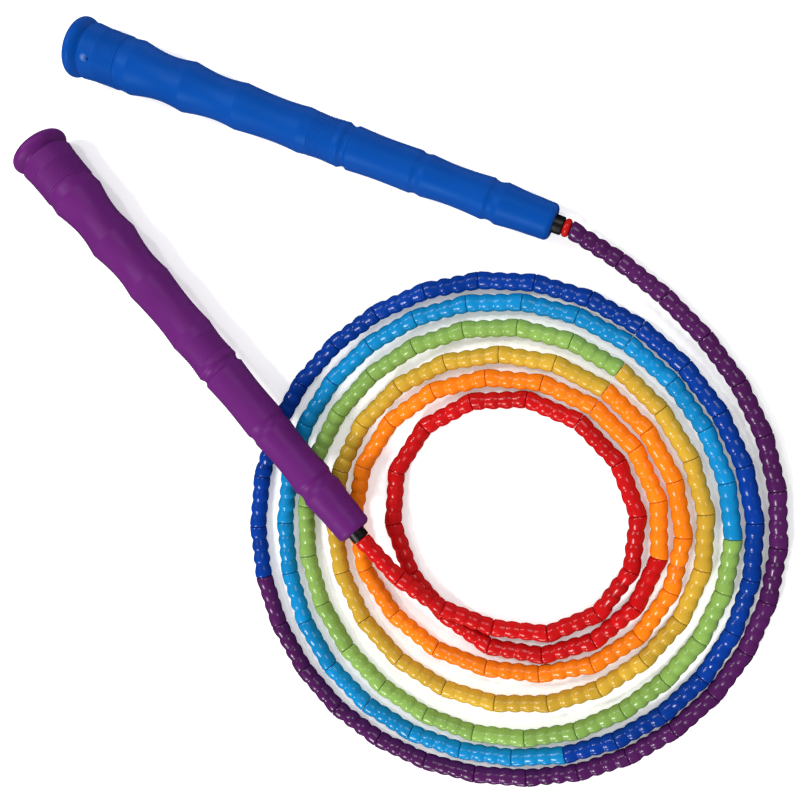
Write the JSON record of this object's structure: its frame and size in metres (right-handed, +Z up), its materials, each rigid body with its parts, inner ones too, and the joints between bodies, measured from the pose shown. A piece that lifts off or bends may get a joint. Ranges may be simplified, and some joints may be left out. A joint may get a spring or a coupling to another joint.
{
  "type": "jump rope",
  "caption": "Beaded jump rope with two long swivel handles, lying in a loose flat coil; moulded beads in coloured groups on an inner cord.",
  "frame": {"origin": "on the floor, under the middle of the two handles' box", "axes": "+Z up; +X along the longer side of the two handles' box, roughly from the butts towards the tips; +Y towards the blue handle"},
  "size_m": [0.3596, 0.3638, 0.0291],
  "materials": {
    "bead_purple": "gloss moulded",
    "bead_blue": "gloss moulded",
    "bead_sky": "gloss moulded",
    "bead_green": "gloss moulded",
    "bead_yellow": "gloss moulded",
    "bead_orange": "gloss moulded",
    "bead_red": "gloss moulded",
    "grip_blue": "satin moulded",
    "grip_purple": "satin moulded",
    "cap_blue": "satin moulded",
    "cap_purple": "satin moulded",
    "bush": "smooth",
    "ring_red": "gloss moulded",
    "cord": "braided",
    "washer": "bright",
    "stop": "crimped"
  },
  "bodies": {
    "rope": {"inner_cord": "cord", "beads_purple": "bead_purple", "beads_blue": "bead_blue", "beads_sky": "bead_sky", "beads_green": "bead_green", "beads_yellow": "bead_yellow", "beads_orange": "bead_orange", "beads_red": "bead_red", "blue_swivel_bush": "bush", "blue_cord_stop": "stop", "purple_swivel_bush": "bush", "purple_cord_stop": "stop"},
    "ring": {"spacer_ring": "ring_red"},
    "blue_handle": {"blue_grip": "grip_blue"},
    "blue_cap": {"blue_end_cap": "cap_blue"},
    "blue_washer": {"blue_thrust_washer": "washer"},
    "purple_handle": {"purple_grip": "grip_purple"},
    "purple_cap": {"purple_end_cap": "cap_purple"},
    "purple_washer": {"purple_thrust_washer": "washer"}
  },
  "joints": [
    {"name": "blue_handle_spin", "type": "hinge", "parent": "rope", "child": "blue_handle", "pos_m": [0.12685, 0.02231, 0.0092], "axis": [0.9302, -0.3664, -0.0222], "continuous": true},
    {"name": "blue_washer_spin", "type": "hinge", "parent": "rope", "child": "blue_washer", "pos_m": [0.11708, 0.02616, 0.00943], "axis": [0.9302, -0.3664, -0.0222], "continuous": true},
    {"name": "blue_cap_pull", "type": "slide", "parent": "blue_handle", "child": "blue_cap", "axis": [-0.9302, 0.3664, 0.0222], "range_m": [0, 0.012]},
    {"name": "purple_handle_spin", "type": "hinge", "parent": "rope", "child": "purple_handle", "pos_m": [0.03687, -0.11683, 0.02], "axis": [0.6598, -0.7511, 0.0231], "continuous": true},
    {"name": "purple_washer_spin", "type": "hinge", "parent": "rope", "child": "purple_washer", "pos_m": [0.02994, -0.10894, 0.01976], "axis": [0.6598, -0.7511, 0.0231], "continuous": true},
    {"name": "purple_cap_pull", "type": "slide", "parent": "purple_handle", "child": "purple_cap", "axis": [-0.6598, 0.7511, -0.0231], "range_m": [0, 0.012]},
    {"name": "spacer_ring_spin", "type": "hinge", "parent": "rope", "child": "ring", "pos_m": [0.13238, 0.02013, 0.00907], "axis": [0.9302, -0.3664, -0.0222], "continuous": true}
  ]
}
